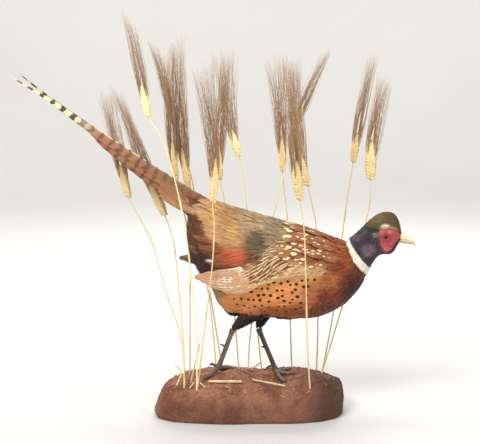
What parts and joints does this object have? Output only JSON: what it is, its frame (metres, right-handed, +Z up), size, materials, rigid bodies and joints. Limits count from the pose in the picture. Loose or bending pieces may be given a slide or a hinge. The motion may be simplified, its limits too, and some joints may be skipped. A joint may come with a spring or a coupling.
{
  "type": "taxidermy pheasant",
  "caption": "Mounted cock ring-necked pheasant striding on a lumpy earth-like base among stalks of bearded wheat, life size.",
  "frame": {"origin": "middle of the base's flat underside", "axes": "+X the way the bird faces, -Y the bird's right side, +Z up"},
  "size_m": [0.7645, 0.2205, 0.77],
  "materials": {
    "earth": "rough, mottled, like dried earth",
    "body_plumage": "soft feathers, barred and spotted",
    "neck_plumage": "glossy dark feathers with a blue and purple sheen",
    "head_plumage": "short dense feathers and red granular skin",
    "wing_plumage": "flat vaned feathers, buff and brown",
    "tail_plumage": "long barred feathers",
    "thigh_plumage": "soft dark feathers",
    "foot_scales": "dry horny scales",
    "bill": "smooth horn, slightly glossy",
    "eye": "polished glass eye",
    "straw": "dry straw"
  },
  "bodies": {
    "root": {"base": "earth", "trunk": "body_plumage", "neck": "neck_plumage", "head": "head_plumage", "eye_right": "eye", "eye_left": "eye", "bill_upper": "bill", "bill_lower": "bill", "wing_right": "wing_plumage", "wing_left": "wing_plumage", "tail": "tail_plumage", "thigh_right": "thigh_plumage", "foot_right": "foot_scales", "thigh_left": "thigh_plumage", "foot_left": "foot_scales", "wheat_a": "straw", "wheat_b": "straw", "wheat_c": "straw", "wheat_d": "straw", "wheat_e": "straw", "wheat_f": "straw", "wheat_g": "straw", "wheat_h": "straw", "wheat_i": "straw", "wheat_j": "straw", "wheat_k": "straw", "wheat_l": "straw", "wheat_m": "straw", "wheat_n": "straw", "wheat_o": "straw", "straw_1": "straw", "straw_2": "straw", "straw_3": "straw", "straw_4": "straw", "straw_5": "straw", "straw_6": "straw", "straw_7": "straw"}
  },
  "joints": []
}
